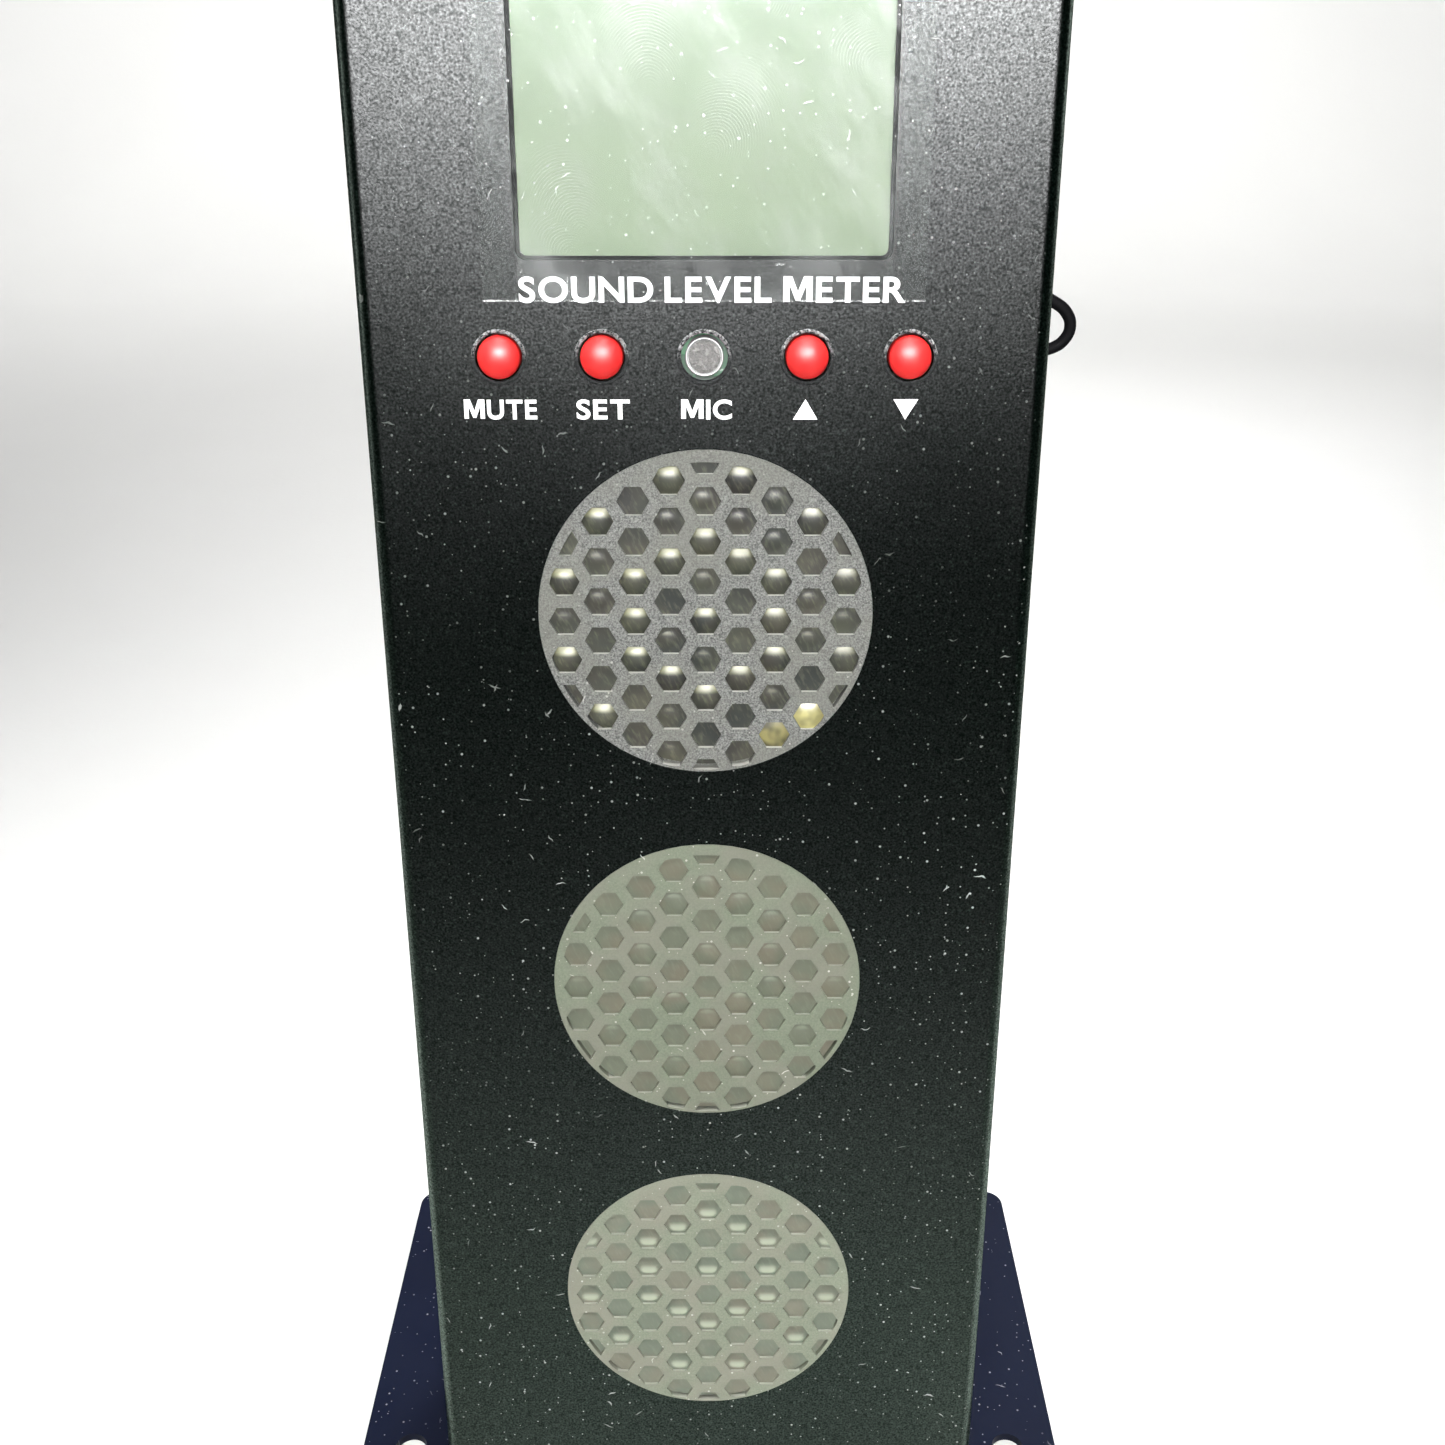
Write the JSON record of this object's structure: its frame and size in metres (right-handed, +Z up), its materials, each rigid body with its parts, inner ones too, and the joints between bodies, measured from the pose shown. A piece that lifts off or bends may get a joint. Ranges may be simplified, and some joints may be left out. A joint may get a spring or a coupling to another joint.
{
  "type": "sound level meter",
  "caption": "Leaning desk sound level meter with display, push buttons, microphone and round warning lights on a flat drilled foot.",
  "frame": {"origin": "centre of the foot plate's four fixing holes, on its underside", "axes": "+Z up, the face looks towards -Y and leans back, +X to the right of a person who reads the display"},
  "size_m": [0.145, 0.1268, 0.3256],
  "materials": {
    "case_coat": "fine textured black powder coat",
    "foot_coat": "smooth satin blue-black powder coat",
    "dark_screws": "blackened zinc, satin",
    "net_grey": "matt, fine grained",
    "net_beige": "matt, fine grained",
    "board": "green solder mask, satin",
    "led_board": "dark solder mask, satin",
    "led_lens": "water clear epoxy",
    "film": "clear, slightly scuffed",
    "lcd": "greenish grey display glass",
    "black_plastic": "moulded, matt",
    "white_plastic": "moulded, satin",
    "grey_plastic": "ribbed, satin",
    "chip": "moulded epoxy, matt",
    "red_caps": "moulded, glossy",
    "bright_metal": "nickel plated, satin",
    "felt": "grey felt",
    "brass": "turned",
    "red_wire": "soft insulation",
    "lead_black": "soft black PVC",
    "tie": "woven hook and loop strip"
  },
  "bodies": {
    "case": {"front_shell": "case_coat", "rear_cover": "case_coat", "cover_screws": "dark_screws", "foot_plate": "foot_coat", "stand_bracket": "foot_coat", "stand_screws": "dark_screws", "stand_nuts": "bright_metal", "net_upper": "net_grey", "net_middle": "net_beige", "net_lower": "net_beige", "led_board_upper": "led_board", "led_board_middle": "led_board", "led_board_lower": "led_board", "leds_upper": "led_lens", "leds_middle": "led_lens", "leds_lower": "led_lens", "screen_film": "film", "lcd_glass": "lcd", "lcd_frame": "black_plastic", "lcd_backlight": "white_plastic", "main_board": "board", "controller_chip": "chip", "driver_chips": "chip", "buzzer": "black_plastic", "tact_switches": "black_plastic", "mic_can": "bright_metal", "mic_felt": "felt", "mic_board": "board", "board_spacers": "brass", "board_screws": "bright_metal", "led_ribbon": "grey_plastic", "ribbon_headers": "white_plastic", "power_header": "white_plastic", "jack_wires": "red_wire", "dc_jack": "black_plastic", "jack_nut": "bright_metal", "dc_plug": "lead_black", "power_lead": "lead_black", "lead_coil": "lead_black", "lead_tail": "lead_black", "coil_tie": "tie", "usb_overmould": "lead_black", "usb_shell": "bright_metal"},
    "mute_button": {"button_mute": "red_caps"},
    "setting_button": {"button_setting": "red_caps"},
    "up_button": {"button_up": "red_caps"},
    "down_button": {"button_down": "red_caps"}
  },
  "joints": [
    {"name": "mute_button_press", "type": "slide", "parent": "case", "child": "mute_button", "axis": [0, 0.9925, -0.1219], "range_m": [0, 0.0005], "stiffness_N_per_m": 3000},
    {"name": "setting_button_press", "type": "slide", "parent": "case", "child": "setting_button", "axis": [0, 0.9925, -0.1219], "range_m": [0, 0.0005], "stiffness_N_per_m": 3000},
    {"name": "up_button_press", "type": "slide", "parent": "case", "child": "up_button", "axis": [0, 0.9925, -0.1219], "range_m": [0, 0.0005], "stiffness_N_per_m": 3000},
    {"name": "down_button_press", "type": "slide", "parent": "case", "child": "down_button", "axis": [0, 0.9925, -0.1219], "range_m": [0, 0.0005], "stiffness_N_per_m": 3000}
  ]
}
